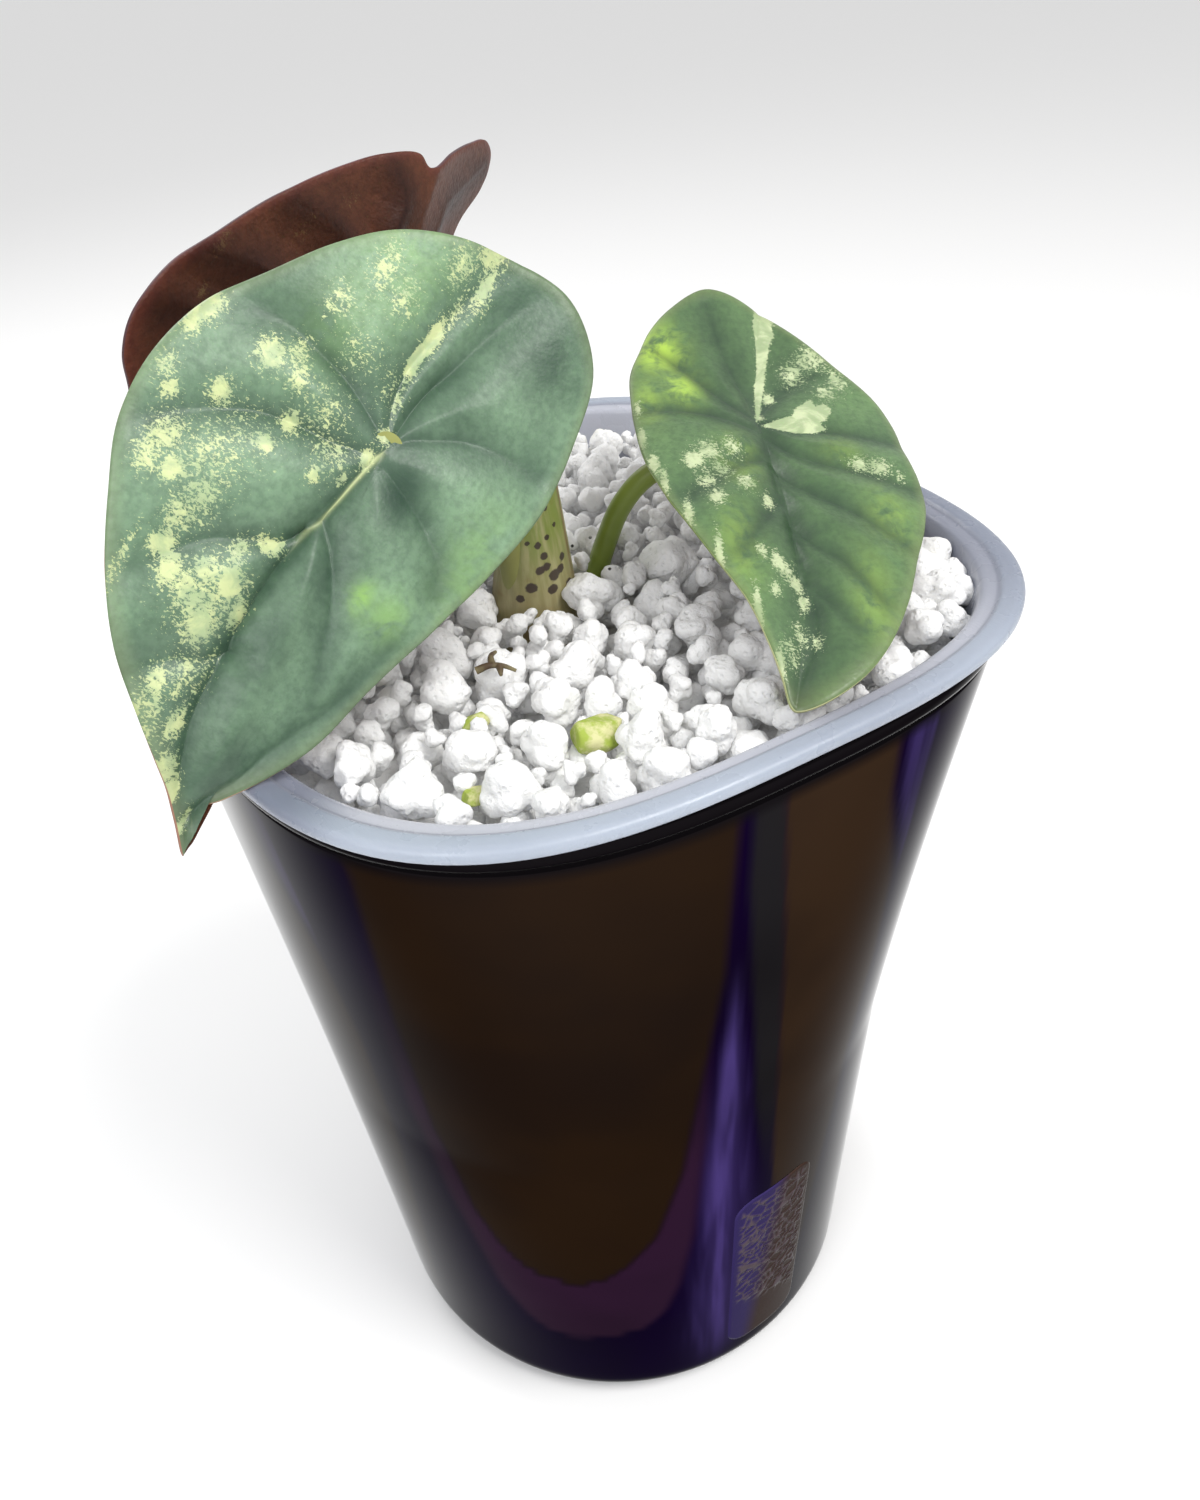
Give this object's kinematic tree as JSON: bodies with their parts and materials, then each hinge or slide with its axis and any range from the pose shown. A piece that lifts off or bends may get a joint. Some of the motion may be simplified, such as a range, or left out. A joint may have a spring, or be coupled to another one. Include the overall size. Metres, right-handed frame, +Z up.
{
  "type": "potted nebula alocasia",
  "caption": "Young variegated alocasia with shield-shaped leaves, in a perlite bed inside a translucent inner pot that hangs in a tall glossy squared outer pot.",
  "frame": {"origin": "centre of the outer pot's flat foot", "axes": "+Z up, +X to the right of the flat front side, +Y towards the back; the picture is taken from the front left, above the rim"},
  "size_m": [0.134, 0.1292, 0.2269],
  "materials": {
    "glossy_pot": "very glossy dark brown-black to violet",
    "milky_liner": "translucent milky grey-blue, satin",
    "perlite": "dry, chalky white expanded grains",
    "green_perlite": "chalky, tinted yellow-green by algae",
    "stem": "waxy cream to olive with dark purple-brown spots",
    "silver_leaf": "silvery blue-green, satin, cream speckled",
    "maroon_leaf": "maroon underside, green upper side, satin",
    "young_leaf": "bright green, semi-gloss, cream marbled"
  },
  "bodies": {
    "root": {"outer_pot": "glossy_pot", "inner_pot": "milky_liner", "perlite_bed": "perlite", "green_grain": "green_perlite", "stem_base": "stem", "leaf_front": "silver_leaf", "leaf_back": "maroon_leaf", "leaf_right": "young_leaf"}
  },
  "joints": []
}
